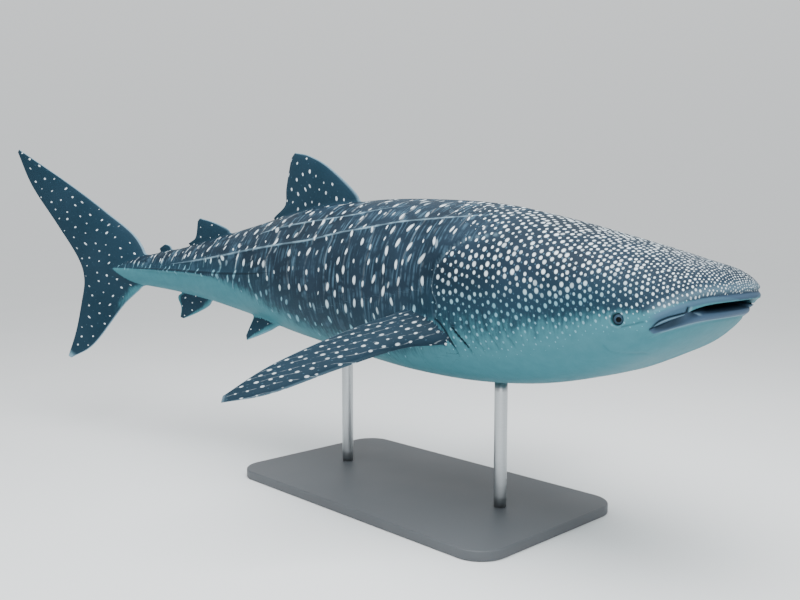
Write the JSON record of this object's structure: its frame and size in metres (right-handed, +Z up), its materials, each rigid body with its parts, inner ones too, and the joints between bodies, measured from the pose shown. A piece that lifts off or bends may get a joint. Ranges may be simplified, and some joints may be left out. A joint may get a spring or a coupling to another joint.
{
  "type": "whale shark display model",
  "caption": "Life-size whale shark in a still swimming pose, spotted slate skin over a pale belly, tail swung to its right, on a plain stand with a flat base and short rods.",
  "frame": {"origin": "centre of the underside of the stand's base, on the floor", "axes": "+X toward the head along the front of the body, +Y to the animal's left, +Z up"},
  "size_m": [6.0786, 3.086, 2.4395],
  "materials": {
    "shark_skin": "satin painted skin over a solid body",
    "eye_surface": "glossy",
    "base_paint": "painted, satin",
    "rod_steel": "brushed"
  },
  "bodies": {
    "root": {"head": "shark_skin", "lower_jaw": "shark_skin", "trunk": "shark_skin", "tail_stalk": "shark_skin", "caudal_fin_upper": "shark_skin", "caudal_fin_lower": "shark_skin", "dorsal_fin_first": "shark_skin", "dorsal_fin_second": "shark_skin", "dorsal_finlet": "shark_skin", "anal_fin": "shark_skin", "pectoral_fin_right": "shark_skin", "pectoral_fin_left": "shark_skin", "pelvic_fin_right": "shark_skin", "pelvic_fin_left": "shark_skin", "eye_right": "eye_surface", "eye_left": "eye_surface", "stand_base": "base_paint", "stand_rod_front": "rod_steel", "stand_rod_rear": "rod_steel"}
  },
  "joints": []
}
